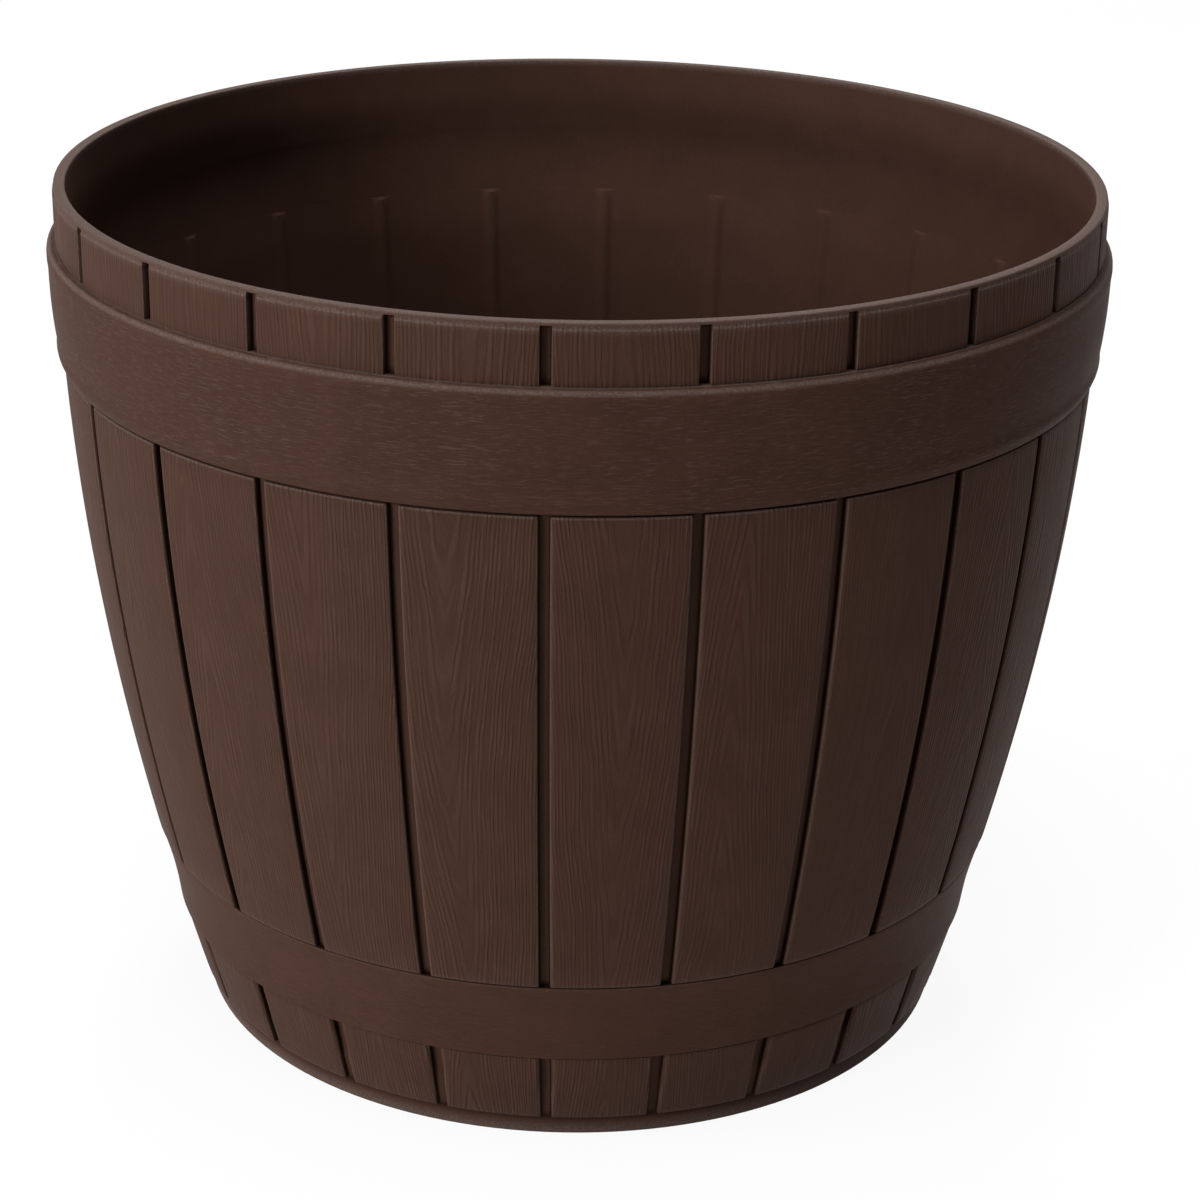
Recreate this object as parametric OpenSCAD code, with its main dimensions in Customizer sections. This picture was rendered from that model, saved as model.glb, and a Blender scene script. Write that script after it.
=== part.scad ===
// Half-barrel planter, moulded in one piece of plastic to look like staves and hoops,
// with four push-in plugs that close the drain holes in its floor.
// Millimetres. +Z is up, the origin is on the ground at the middle of the foot ring,
// and a groove between two staves faces -Y.

/* [Barrel] */
// Height of the planter, from the ground to the top of the rim
height = 330; // [310:5:360]
// Radius of the stave curve at its widest
belly_r = 196.8; // [190:0.2:206]
// Depth of the widest point of the stave curve below the top of the rim
belly_drop = 36.6; // [30:0.2:50]
// Radius that the stave curve reaches at the ground
foot_r = 149.6; // [140:0.2:158]
// Power of the stave curve: 2 is an even bulge, less is straighter towards the foot
curve_power = 1.81; // [1.6:0.01:2]
// Thickness of the wall behind the staves, at their widest
wall_t = 3; // [2.6:0.1:3.6]
// Thickness of the same wall at the foot
wall_foot_t = 4.4; // [3.8:0.1:5]

/* [Staves] */
// Number of moulded staves round the barrel
stave_count = 24; // [16:2:28]
// Width of the groove between two staves
groove_w = 4.2; // [3:0.1:6]
// Depth of the crease between the ends of the staves and what lies above and below them
crease_depth = 1.6; // [1.5:0.1:1.8]
// Width of that crease
crease_w = 0.9; // [0.6:0.1:1.4]
// How much deeper the grooves are than the creases
groove_sink = 0.3; // [0.1:0.1:0.4]
// Chamfer on the ends of the staves
stave_chamfer = 0.9; // [0.5:0.1:1.2]
// Width of the ridge that each groove makes on the inside of the wall
ridge_w = 6.6; // [5:0.1:9]
// How far that ridge stands in from the wall
ridge_h = 1.2; // [0.8:0.1:2]

/* [Rim] */
// Height of the collar of short staves between the upper hoop and the top of the rim
collar_h = 21.5; // [16:0.5:28]
// How far the collar stands outside the widest part of the stave curve
collar_step = 0.5; // [0:0.1:1.5]
// Thickness of the wall at the collar
rim_t = 4.7; // [4.2:0.1:6]
// Radius of the rim's outer edge
rim_round = 0.7; // [0.6:0.1:1.3]
// Radius of the rim's inner edge
rim_inner_round = 0.6; // [0.5:0.1:1.5]
// Plain band between the top of the rim and the top of the collar's grooves
rim_plain_h = 1.6; // [1.4:0.1:3]

/* [Upper hoop] */
// Height of the upper hoop from edge to edge
upper_hoop_h = 44; // [36:1:60]
// How far its face stands outside the widest part of the stave curve, at the top
upper_proud = 3.5; // [2.7:0.1:4]
// How far its face draws in from the top to the bottom
upper_taper = 3.4; // [2:0.1:4]
// Power of that drawing in: 1 is a straight cone, more keeps the top upright for longer
upper_taper_power = 2.8; // [1:0.1:3.5]
// Height of the bead along its top edge
upper_top_bead = 0.3; // [0.3:0.1:1.6]
// Height of the bead along its bottom edge
upper_bottom_bead = 1.1; // [0.3:0.1:1.6]
// Height of the band that each bead takes up
bead_w = 8.5; // [6:0.5:10]
// Radius of its top edge
upper_top_round = 2.8; // [1:0.1:3]
// Radius of its bottom edge
upper_bottom_round = 1; // [0.4:0.1:1.3]
// Thickness of the wall behind it
hoop_wall_t = 4.8; // [4.2:0.1:5.6]

/* [Lower hoop] */
// Height of the lower hoop's bottom edge above the ground
lower_hoop_z = 38.8; // [30:0.2:60]
// Height of the lower hoop from edge to edge
lower_hoop_h = 33.3; // [26:0.1:44]
// How far its face stands in from the stave curve, at the top
lower_top_set = 0.5; // [0:0.1:1]
// How far its face stands outside the stave curve, at the bottom
lower_bottom_proud = 0.6; // [0.3:0.1:2]
// How far its face is dished between the two edges
lower_dish = 0.8; // [0:0.1:1]
// Radius of its edges
lower_edge_round = 0.5; // [0.3:0.1:0.5]

/* [Inside] */
// Height of the ledge inside, above the bottom edge of the upper hoop
ledge_rise = 8; // [6:0.5:16]
// Radius where the wall meets the floor
corner_round = 7; // [4:0.5:12]

/* [Foot and floor] */
// Height of the plain foot ring
foot_ring_h = 7.5; // [6:0.5:12]
// How far the face of the foot ring stands in from the bottom of the creases
foot_ring_set = 0.6; // [0:0.1:1]
// Radius of the foot ring's lower edge
foot_round = 1.4; // [0.8:0.1:2.4]
// Thickness of the foot ring's wall
foot_wall_t = 5.8; // [5:0.1:8]
// Height of the floor's upper face above the ground
floor_z = 13; // [12:0.5:18]
// Thickness of the floor
floor_t = 3; // [2.5:0.1:4]
// Number of stiffening ribs under the floor
rib_count = 8; // [4:4:12]
// Thickness of a rib
rib_t = 2; // [1.6:0.1:3]
// Gap between the ribs and the ground
rib_ground_gap = 3.5; // [2:0.5:5]
// Radius of the ring rib in the middle of the floor
hub_rib_r = 40; // [30:1:55]

/* [Drain holes] */
// Radius of the circle that the drain holes lie on
drain_pitch_r = 92; // [80:1:105]
// Diameter of a drain hole
drain_d = 14; // [10:0.5:18]
// Length of a drain hole, from its well down to the end of its collar
drain_h = 5.5; // [4:0.5:7]
// Diameter of the shallow well round a drain hole
well_d = 32; // [28:0.5:38]
// Depth of that well
well_depth = 1.5; // [1:0.1:2]
// Thickness of the plastic round a drain hole and under its well
well_wall_t = 2.5; // [2:0.1:3]

/* [Plugs] */
// Gap all round between a plug's stem and its hole
stem_gap = 0.1; // [0.05:0.01:0.2]
// Gap all round between a plug's flange and its well
flange_gap = 0.6; // [0.4:0.1:1]
// Thickness of a plug's flange
flange_t = 2.2; // [1.8:0.1:3]
// How far a plug's stem reaches past the end of its hole
stem_reach = 2.5; // [1:0.5:3]
// Wall of the hollow stem
stem_wall_t = 1.6; // [1.2:0.1:2.5]
// Height of the grip above the flange
grip_h = 10; // [8:0.5:14]
// Width of the grip
grip_w = 16; // [12:0.5:20]
// Thickness of the grip
grip_t = 3; // [2.4:0.1:4]
// Radius of the grip's two upper corners
grip_round = 5; // [2:0.5:5.5]
// Chamfer on the edges of the flange and of the stem
plug_chamfer = 0.6; // [0.3:0.1:0.8]

/* [Hidden] */
NODES = ["barrel_shell", "drain_plug_1", "drain_plug_2", "drain_plug_3", "drain_plug_4"];
$fn = 96;

barrel_brown = [0.25, 0.18, 0.155];
plug_brown = [0.13, 0.10, 0.09];
curve_step = 24;       // longest straight step along the stave curve
hoop_step = 1.6;       // longest straight step along a hoop's face
arc_steps = 4;         // straight steps in a quarter-round edge
overcut = 8;           // how far a cutting tool runs past what it cuts

drain_count = len(NODES) - 1;
belly_z = height - belly_drop;
collar_z = height - collar_h;
upper_hoop_z = collar_z - upper_hoop_h;
lower_hoop_top_z = lower_hoop_z + lower_hoop_h;
collar_r = belly_r + collar_step;
groove_depth = crease_depth + groove_sink;
rim_inner_r = collar_r - rim_t;
hoop_inner_r = belly_r + upper_proud - hoop_wall_t;
ledge_z = upper_hoop_z + ledge_rise;
ledge_end_z = ledge_z - abs(hoop_inner_r - inside_r(ledge_z));
foot_ring_r = stave_r(foot_ring_h) - crease_depth - foot_ring_set;
foot_inner_r = foot_ring_r - foot_wall_t;
floor_under_z = floor_z - floor_t;
well_z = floor_z - well_depth;
outer_r = belly_r + upper_proud + upper_top_bead + overcut;
wall_lean = atan((inside_r(floor_z + corner_round) - inside_r(floor_z)) / corner_round);
corner_z = floor_z + corner_round * (1 - sin(wall_lean));

// Radius of the stave faces at height z
function stave_r(z) =
    belly_r - (belly_r - foot_r) * pow(abs(belly_z - z) / belly_z, curve_power);

// Radius of the inside of the wall at height z, below the ledge
function inside_r(z) = stave_r(z) - wall_foot_t + (wall_foot_t - wall_t) * z / belly_z;

// Heights from z0 to z1, both included, in equal steps no longer than the given one
function heights(z0, z1, step = curve_step) =
    let (count = max(1, ceil(abs(z1 - z0) / step)))
    [for (i = [0:count]) z0 + (z1 - z0) * i / count];

// Points of an arc about a centre [r, z], from angle a0 to a1
function arc(centre, radius, a0, a1) =
    [for (i = [0:arc_steps])
        let (a = a0 + (a1 - a0) * i / arc_steps)
        centre + radius * [cos(a), sin(a)]];

// How far a rounded edge falls back, at a distance d from the end of the band it closes
function edge_fall(d, radius) =
    d < radius ? radius - sqrt(pow(radius, 2) - pow(radius - d, 2)) : 0;

// How far a bead stands out, at a distance d from the end of the band it runs along
function bead_rise(d) = d < bead_w ? pow(sin(180 * d / bead_w), 2) : 0;

// Outline of a hoop from z0 up to z1: its face, with the edges rounded by r0 and r1
function hoop_outline(face, z0, z1, r0, r1) = [
    for (z = concat(
        [for (i = [0:arc_steps - 1]) z0 + r0 * (1 - cos(90 * i / arc_steps))],
        heights(z0 + r0, z1 - r1, hoop_step),
        [for (i = [1:arc_steps]) z1 - r1 * (1 - sin(90 * i / arc_steps))]))
    [face(z) - edge_fall(z - z0, r0) - edge_fall(z1 - z, r1), z]
];

stave_face = function (z) stave_r(z);

collar_face = function (z) collar_r;

upper_hoop_face = function (z)
    belly_r + upper_proud - upper_taper * pow((collar_z - z) / upper_hoop_h, upper_taper_power)
    + upper_top_bead * bead_rise(collar_z - z)
    + upper_bottom_bead * bead_rise(z - upper_hoop_z);

lower_hoop_face = function (z)
    let (up = (z - lower_hoop_z) / lower_hoop_h)
    (stave_r(lower_hoop_z) + lower_bottom_proud) * (1 - up)
    + (stave_r(lower_hoop_top_z) - lower_top_set) * up
    - lower_dish * sin(180 * up);

// The rows of staves, each with its face and its lower and upper end
stave_rows = [
    [stave_face, foot_ring_h, lower_hoop_z],
    [stave_face, lower_hoop_top_z, upper_hoop_z],
    [collar_face, collar_z, height - rim_plain_h]
];

// Outline that runs at a depth below a face, from z0 up to z1
function face_outline(face, z0, z1, depth = 0) =
    [for (z = heights(z0, z1)) [face(z) - depth, z]];

// Outline of a row of staves: its face, with chamfered ends and a crease past each end
function row_outline(row) =
    let (face = row[0],
         z0 = row[1],
         z1 = row[2],
         base0 = face(z0) - crease_depth,
         base1 = face(z1) - crease_depth,
         end0 = z0 + crease_w,
         end1 = z1 - crease_w)
    concat(
        [[base0, z0], [base0, end0], [face(end0) - stave_chamfer, end0]],
        face_outline(face, end0 + stave_chamfer, end1 - stave_chamfer),
        [[face(end1) - stave_chamfer, end1], [base1, end1], [base1, z1]]
    );

// The outside of the barrel, from the foot up to the top of the rim
function outside_outline() = concat(
    [[foot_inner_r, 0]],
    arc([foot_ring_r - foot_round, foot_round], foot_round, -90, 0),
    [[foot_ring_r, foot_ring_h]],
    row_outline(stave_rows[0]),
    hoop_outline(lower_hoop_face, lower_hoop_z, lower_hoop_top_z, lower_edge_round, lower_edge_round),
    row_outline(stave_rows[1]),
    hoop_outline(upper_hoop_face, upper_hoop_z, collar_z, upper_bottom_round, upper_top_round),
    row_outline(stave_rows[2]),
    arc([collar_r - crease_depth - rim_round, height - rim_round], rim_round, 0, 90)
);

// The inside of the barrel, from the top of the rim down to the middle of the floor
function inside_outline() = concat(
    arc([rim_inner_r + rim_inner_round, height - rim_inner_round], rim_inner_round, 90, 180),
    [[rim_inner_r, collar_z],
     [hoop_inner_r, collar_z - bead_w],
     [hoop_inner_r, ledge_z]],
    [for (z = heights(ledge_end_z, corner_z)) [inside_r(z), z]],
    arc([inside_r(corner_z) - corner_round * cos(wall_lean), floor_z + corner_round],
        corner_round, -wall_lean, -90),
    [[0, floor_z], [0, floor_under_z], [foot_inner_r, floor_under_z]]
);

// Upright slabs, one at each groove, of which the grooves and the ridges are slices
module slabs(width, z0, z1, from_r) {
    for (i = [0:stave_count - 1])
        rotate(i * 360 / stave_count - 90)
            translate([from_r, -width / 2, z0])
                cube([outer_r - from_r, width, z1 - z0]);
}

// Cutter for the grooves of one row of staves
module groove_row(row) {
    bottom = face_outline(row[0], row[1], row[2], groove_depth);
    intersection() {
        rotate_extrude()
            polygon(concat(bottom, [[outer_r, row[2]], [outer_r, row[1]]]));
        slabs(groove_w, row[1], row[2], bottom[0][0] - overcut);
    }
}

// Ridges on the inside of the wall, one behind each groove
module inner_ridges() {
    levels = heights(floor_z, ledge_end_z);
    fronts = [for (z = levels) [inside_r(z) - ridge_h, z]];
    backs = [for (i = [len(levels) - 1:-1:0]) [inside_r(levels[i]) + wall_t / 2, levels[i]]];
    intersection() {
        rotate_extrude() polygon(concat(fronts, backs));
        slabs(ridge_w, floor_z, ledge_end_z, foot_inner_r / 2);
    }
}

module at_drain(index) {
    rotate(index * 360 / drain_count)
        translate([drain_pitch_r, 0, well_z])
            children();
}

module floor_ribs() {
    rib_h = floor_under_z + floor_t / 2 - rib_ground_gap;
    translate([0, 0, rib_ground_gap]) {
        for (i = [0:rib_count - 1])
            rotate((i + 0.5) * 360 / rib_count)
                translate([hub_rib_r, -rib_t / 2, 0])
                    cube([foot_inner_r + rib_t - hub_rib_r, rib_t, rib_h]);
        difference() {
            cylinder(h = rib_h, r = hub_rib_r + rib_t / 2);
            translate([0, 0, -overcut])
                cylinder(h = rib_h + 2 * overcut, r = hub_rib_r - rib_t / 2);
        }
    }
}

// The plastic round one drain hole: a plate under its well, and a collar
module drain_boss() {
    translate([0, 0, -well_wall_t])
        cylinder(h = well_wall_t, d = well_d + 2 * well_wall_t);
    translate([0, 0, -drain_h])
        cylinder(h = drain_h, d = drain_d + 2 * well_wall_t);
}

module drain_cut() {
    cylinder(h = overcut, d = well_d);
    translate([0, 0, -drain_h - overcut])
        cylinder(h = drain_h + 2 * overcut, d = drain_d);
}

module barrel_shell() {
    color(barrel_brown)
        difference() {
            union() {
                rotate_extrude()
                    polygon(concat(outside_outline(), inside_outline()));
                inner_ridges();
                floor_ribs();
                for (i = [0:drain_count - 1])
                    at_drain(i) drain_boss();
            }
            for (row = stave_rows)
                groove_row(row);
            for (i = [0:drain_count - 1])
                at_drain(i) drain_cut();
        }
}

// A plug's flange and stem, with the under face of the flange at z = 0
module plug_body() {
    stem_r = drain_d / 2 - stem_gap;
    flange_r = well_d / 2 - flange_gap;
    stem_end = -drain_h - stem_reach;
    rotate_extrude()
        polygon([
            [0, flange_t],
            [flange_r - plug_chamfer, flange_t],
            [flange_r, flange_t - plug_chamfer],
            [flange_r, 0],
            [stem_r, 0],
            [stem_r, stem_end + plug_chamfer],
            [stem_r - plug_chamfer, stem_end],
            [stem_r - stem_wall_t, stem_end],
            [stem_r - stem_wall_t, 0],
            [0, 0]
        ]);
}

module plug_grip() {
    corner = grip_w / 2 - grip_round;
    translate([0, grip_t / 2, flange_t / 2])
        rotate([90, 0, 0])
            linear_extrude(grip_t) {
                top = grip_h + flange_t / 2;
                translate([-grip_w / 2, 0]) square([grip_w, top - grip_round]);
                translate([-corner, 0]) square([2 * corner, top]);
                for (side = [-1, 1])
                    translate([side * corner, top - grip_round]) circle(grip_round);
            }
}

module drain_plug(index) {
    color(plug_brown)
        at_drain(index) {
            plug_body();
            plug_grip();
        }
}

barrel_shell();
drain_plug(0);  // drain_plug_1
drain_plug(1);  // drain_plug_2
drain_plug(2);  // drain_plug_3
drain_plug(3);  // drain_plug_4
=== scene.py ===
"""The looks of a half-barrel planter, moulded in one piece of plastic, around its CAD frame.

The barrel is one closed mesh: a spun outline, with raised staves, sunk grooves, hoops and a
ribbed floor. Four push-in plugs close the drain holes in the floor. Sizes are millimetres.
"""

import logging
import math
from dataclasses import dataclass, field
from enum import Enum

import bmesh
import bpy
from mathutils import Matrix, Quaternion, Vector


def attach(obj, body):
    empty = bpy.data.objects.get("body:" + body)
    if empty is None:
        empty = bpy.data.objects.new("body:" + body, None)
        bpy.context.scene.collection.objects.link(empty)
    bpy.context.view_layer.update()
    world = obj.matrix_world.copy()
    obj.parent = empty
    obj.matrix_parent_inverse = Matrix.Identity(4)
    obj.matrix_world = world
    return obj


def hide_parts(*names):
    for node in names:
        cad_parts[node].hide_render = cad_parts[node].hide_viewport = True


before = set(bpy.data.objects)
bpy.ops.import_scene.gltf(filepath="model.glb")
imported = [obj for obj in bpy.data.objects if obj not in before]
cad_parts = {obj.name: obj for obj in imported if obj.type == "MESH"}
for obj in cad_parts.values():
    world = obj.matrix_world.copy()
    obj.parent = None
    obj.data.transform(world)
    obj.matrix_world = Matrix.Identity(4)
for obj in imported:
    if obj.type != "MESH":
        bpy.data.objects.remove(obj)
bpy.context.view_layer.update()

LOG = logging.getLogger("barrel_planter")
MM = 0.001
SHELL_NODE = "barrel_shell"
# Name of the point attribute that holds the painted light and shade: painted highlights above 0,
# painted shade below.
LIGHT_AND_SHADE = "painted_light_and_shade"
MERGE_DIST = 0.002
FULL_TURN = 2 * math.pi

Point = Span = tuple[float, float]
Triple = tuple[float, float, float]
BMesh = bmesh.types.BMesh
Material = bpy.types.Material
Object = bpy.types.Object
Socket = bpy.types.NodeSocket

# A face that looks further in than this, towards the axis, belongs to an inside.
INWARDS = -0.3
# Nearly all of a smooth noise lies within the first span, and all of most within the second.
NARROW: Span = (0.35, 0.65)
WIDE: Span = (0.3, 0.7)


class Skin(Enum):
    """The finishes of the barrel's faces, in the order of its material slots."""

    STAVE = 0
    HOOP = 1
    PLAIN = 2
    INSIDE = 3
    LOWER_HOOP = 4


# ---------------- outlines


def steps_between(z0: float, z1: float, step: float) -> list[float]:
    """Divides a band into equal steps.

    Args:
        z0: Where the band starts.
        z1: Where it ends.
        step: The longest step.

    Returns:
        Heights from z0 to z1, both included.
    """
    rounding = 1e-6
    count = max(1, math.ceil(abs(z1 - z0) / step - rounding))
    return [z0 + (z1 - z0) * i / count for i in range(count + 1)]


def arc(centre: Point, radius: float, start: float, end: float, count: int = 4) -> list[Point]:
    """Draws part of a circle.

    Args:
        centre: Its centre.
        radius: Its radius.
        start: The angle of its first point, in degrees.
        end: The angle of its last point.
        count: How many straight steps it has.

    Returns:
        The points, both ends included.
    """
    angles = [math.radians(start + (end - start) * i / count) for i in range(count + 1)]
    return [(centre[0] + radius * math.cos(a), centre[1] + radius * math.sin(a)) for a in angles]


def edge_fall(distance: float, radius: float, fall: float | None = None) -> float:
    """Works out how far a rounded edge falls back.

    Args:
        distance: The distance from the end of its band.
        radius: How much of the band the edge takes up.
        fall: How far its end falls back, where it isn't the radius.

    Returns:
        The fall at that distance.
    """
    if distance >= radius:
        return 0.0
    round_fall = 1.0 - math.sqrt(1.0 - (1.0 - distance / radius) ** 2)
    return round_fall * (radius if fall is None else fall)


def smooth(value: float, low: float, high: float) -> float:
    """Turns a value from low to high smoothly into one from 0 to 1."""
    share = min(1.0, max(0.0, (value - low) / (high - low)))
    return share * share * (3.0 - 2.0 * share)


def radius_of(point: Vector) -> float:
    """Distance of a point from the Z axis."""
    return math.hypot(point.x, point.y)


@dataclass(frozen=True)
class StaveRow:
    """One row of raised staves between two hoops, or between a hoop and an end of the barrel."""

    bottom: float
    top: float
    bottom_gap: float
    top_gap: float
    raised: float
    groove_sink: float

    @property
    def low_end(self) -> float:
        """Height of the staves' lower ends."""
        return self.bottom + self.bottom_gap

    @property
    def high_end(self) -> float:
        """Height of the staves' upper ends."""
        return self.top - self.top_gap


@dataclass(frozen=True)
class BarrelForm:
    """The curves that the barrel's surfaces follow, at or near the CAD source's sizes."""

    height: float = 330.0
    belly_r: float = 196.8
    belly_drop: float = 36.6
    foot_r: float = 149.6
    curve_power: float = 1.81
    wall_t: float = 3.0
    wall_foot_t: float = 4.4

    stave_count: int = 24
    groove_w: float = 4.0
    ridge_w: float = 6.6
    ridge_h: float = 1.2
    stave_raise: float = 1.6
    groove_depth: float = 3.1
    foot_gaps: Span = (0.7, 0.4)
    stave_gaps: Span = (0.5, 0.9)
    collar_gaps: Span = (0.4, 1.0)

    collar_h: float = 21.5
    collar_step: float = 0.5
    collar_raise: float = 0.4
    rim_t: float = 4.7
    rim_round: float = 0.7
    rim_inner_round: float = 0.6
    rim_plain_h: float = 1.0

    upper_hoop_h: float = 44.0
    upper_proud: float = 3.43
    upper_taper: float = 3.4
    upper_taper_power: float = 2.8
    upper_top_bead: float = 0.3
    upper_bottom_bead: float = 0.8
    bead_w: float = 8.5
    upper_top_round: float = 2.8
    upper_bottom_round: float = 1.0
    hoop_wall_t: float = 4.8

    lower_hoop_z: float = 38.8
    lower_hoop_h: float = 33.3
    lower_top_set: float = 0.5
    lower_bottom_proud: float = 0.6
    lower_dish: float = 0.8
    lower_edge_round: float = 0.5
    lower_top_round: float = 2.2
    lower_top_fall: float = 0.8

    ledge_rise: float = 8.0
    corner_round: float = 7.0
    foot_ring_h: float = 7.5
    foot_ring_set: float = 0.6
    foot_round: float = 1.4
    foot_inner_round: float = 0.8
    foot_wall_t: float = 5.8
    floor_z: float = 13.0
    floor_t: float = 3.0

    @property
    def belly_z(self) -> float:
        """Height of the widest point of the stave curve."""
        return self.height - self.belly_drop

    @property
    def collar_z(self) -> float:
        """Height of the upper hoop's top edge."""
        return self.height - self.collar_h

    @property
    def upper_hoop_z(self) -> float:
        """Height of the upper hoop's bottom edge."""
        return self.collar_z - self.upper_hoop_h

    @property
    def lower_hoop_top_z(self) -> float:
        """Height of the lower hoop's top edge."""
        return self.lower_hoop_z + self.lower_hoop_h

    @property
    def collar_r(self) -> float:
        """Radius of the collar's short staves."""
        return self.belly_r + self.collar_step

    @property
    def rim_inner_r(self) -> float:
        """Radius of the rim's inner wall."""
        return self.collar_r - self.rim_t

    @property
    def hoop_inner_r(self) -> float:
        """Radius of the wall behind the upper hoop."""
        return self.belly_r + self.upper_proud - self.hoop_wall_t

    @property
    def ledge_z(self) -> float:
        """Height of the ledge inside, at the wall."""
        return self.upper_hoop_z + self.ledge_rise

    @property
    def ledge_end_z(self) -> float:
        """Height of the ledge's inner edge."""
        return self.ledge_z - abs(self.hoop_inner_r - self.inside_r(self.ledge_z))

    @property
    def foot_ring_r(self) -> float:
        """Radius of the plain foot ring."""
        return self.stave_r(self.foot_ring_h) - self.stave_raise - self.foot_ring_set

    @property
    def foot_inner_r(self) -> float:
        """Radius of the inside of the foot ring."""
        return self.foot_ring_r - self.foot_wall_t

    @property
    def under_z(self) -> float:
        """Height of the floor's lower face."""
        return self.floor_z - self.floor_t

    @property
    def rows(self) -> tuple[StaveRow, StaveRow, StaveRow]:
        """Lists the rows of staves, from the foot up.

        Returns:
            The short staves at the foot, the long ones, and the collar.
        """
        lip_z, foot_raise = self.height - self.rim_plain_h, self.stave_raise + self.foot_ring_set
        return (
            StaveRow(self.foot_ring_h, self.lower_hoop_z, *self.foot_gaps, foot_raise, 0.0),
            StaveRow(self.lower_hoop_top_z, self.upper_hoop_z, *self.stave_gaps,
                     self.stave_raise, self.groove_depth - self.stave_raise),
            StaveRow(self.collar_z, lip_z, *self.collar_gaps,
                     self.collar_raise, self.groove_depth - self.collar_raise),
        )

    @property
    def groove_pitch(self) -> float:
        """Angle between two grooves, in radians."""
        return FULL_TURN / self.stave_count

    def stave_r(self, z: float) -> float:
        """Radius of the stave curve at height z."""
        share = abs(self.belly_z - z) / self.belly_z
        return self.belly_r - (self.belly_r - self.foot_r) * share**self.curve_power

    def face_r(self, z: float) -> float:
        """Radius of the raised staves at height z, the collar's among them."""
        return self.collar_r if z > self.collar_z else self.stave_r(z)

    def inside_r(self, z: float) -> float:
        """Radius of the inside of the wall at height z, below the ledge."""
        lean = (self.wall_foot_t - self.wall_t) * z / self.belly_z
        return self.stave_r(z) - self.wall_foot_t + lean

    def bead(self, distance: float) -> float:
        """How far a bead stands out, from 0 to 1, at a distance from its band's end."""
        return math.sin(math.pi * min(1.0, distance / self.bead_w)) ** 2

    def upper_face(self, z: float) -> float:
        """Works out the upper hoop's face, which is drawn in below and has two beads.

        Args:
            z: A height.

        Returns:
            Its radius there.
        """
        drawn_in = ((self.collar_z - z) / self.upper_hoop_h) ** self.upper_taper_power
        return (
            self.belly_r + self.upper_proud - self.upper_taper * drawn_in
            + self.upper_top_bead * self.bead(self.collar_z - z)
            + self.upper_bottom_bead * self.bead(z - self.upper_hoop_z)
        )

    def lower_face(self, z: float) -> float:
        """Works out the lower hoop's face, which is a little hollow.

        Args:
            z: A height.

        Returns:
            Its radius there.
        """
        up = (z - self.lower_hoop_z) / self.lower_hoop_h
        low = self.stave_r(self.lower_hoop_z) + self.lower_bottom_proud
        high = self.stave_r(self.lower_hoop_top_z) - self.lower_top_set
        return low * (1 - up) + high * up - self.lower_dish * math.sin(math.pi * up)

    def groove_offset(self, point: Vector) -> float:
        """Works out where a point lies between two grooves.

        Args:
            point: The point.

        Returns:
            Its distance, sideways, from the middle of the nearest groove.
        """
        turn = math.atan2(point.y, point.x) / self.groove_pitch % 1.0
        nearest = min(turn, 1.0 - turn) * self.groove_pitch
        return radius_of(point) * math.sin(nearest)


# ---------------- mesh helpers


def put_in_scene(name: str, data: bpy.types.ID) -> Object:
    """Makes an object at the origin out of a mesh, a lamp or a camera.

    Args:
        name: The object's name.
        data: What it holds.

    Returns:
        The new object, in the scene.
    """
    made = bpy.data.objects.new(name, data)
    bpy.context.scene.collection.objects.link(made)
    return made


def to_object(name: str, work: BMesh) -> Object:
    """Makes an object out of a bmesh, and frees the bmesh.

    Args:
        name: The object's name.
        work: The shape, in millimetres.

    Returns:
        The new object, in metres.
    """
    mesh = bpy.data.meshes.new(name)
    work.to_mesh(mesh)
    work.free()
    mesh.transform(Matrix.Scale(MM, 4))
    return put_in_scene(name, mesh)


def turned(work: BMesh, geom: list, angle: float, steps: int, **options: bool) -> None:
    """Turns part of a bmesh about the Z axis, or copies it round the axis.

    Args:
        work: The bmesh.
        geom: The part of it.
        angle: How far it goes, in radians.
        steps: In how many steps.
        **options: use_merge for a full turn of an outline, use_duplicate for copies.
    """
    bmesh.ops.spin(work, geom=geom, cent=(0, 0, 0), axis=(0, 0, 1), dvec=(0, 0, 0),
                   angle=angle, steps=steps, **options)


def copied_round(work: BMesh, count: int) -> BMesh:
    """Copies a whole bmesh round the Z axis, evenly.

    Args:
        work: The bmesh, which changes.
        count: How many there are in the end.

    Returns:
        The same bmesh, with its normals outwards.
    """
    turned(work, everything(work), FULL_TURN * (count - 1) / count, count - 1,
           use_duplicate=True)
    bmesh.ops.recalc_face_normals(work, faces=work.faces)
    return work


def everything(work: BMesh) -> list:
    """All points, edges and faces of a bmesh."""
    return [*work.verts, *work.edges, *work.faces]


def drawn(outline: list[Point], closed: bool) -> tuple[BMesh, list]:
    """Draws an outline in a new bmesh.

    Args:
        outline: Points of radius and height.
        closed: Whether the last point joins the first.

    Returns:
        The bmesh, and the outline's points and edges.
    """
    work = bmesh.new()
    points = [work.verts.new((r, 0, z)) for r, z in outline]
    ends = points[1:] + points[:1] if closed else points[1:]
    edges = [work.edges.new(pair) for pair in zip(points, ends)]
    return work, points + edges


def spun(outline: list[Point], steps: int) -> BMesh:
    """Turns a closed outline about the Z axis into a bmesh.

    Args:
        outline: Points of radius and height.
        steps: How many steps the full turn has.

    Returns:
        The turned shape, with its poles merged and its normals outwards.
    """
    work, geom = drawn(outline, closed=True)
    turned(work, geom, FULL_TURN, steps, use_merge=True)
    bmesh.ops.remove_doubles(work, verts=work.verts, dist=MERGE_DIST)
    bmesh.ops.dissolve_degenerate(work, edges=work.edges, dist=MERGE_DIST / 2)
    bmesh.ops.recalc_face_normals(work, faces=work.faces)
    return work


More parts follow.
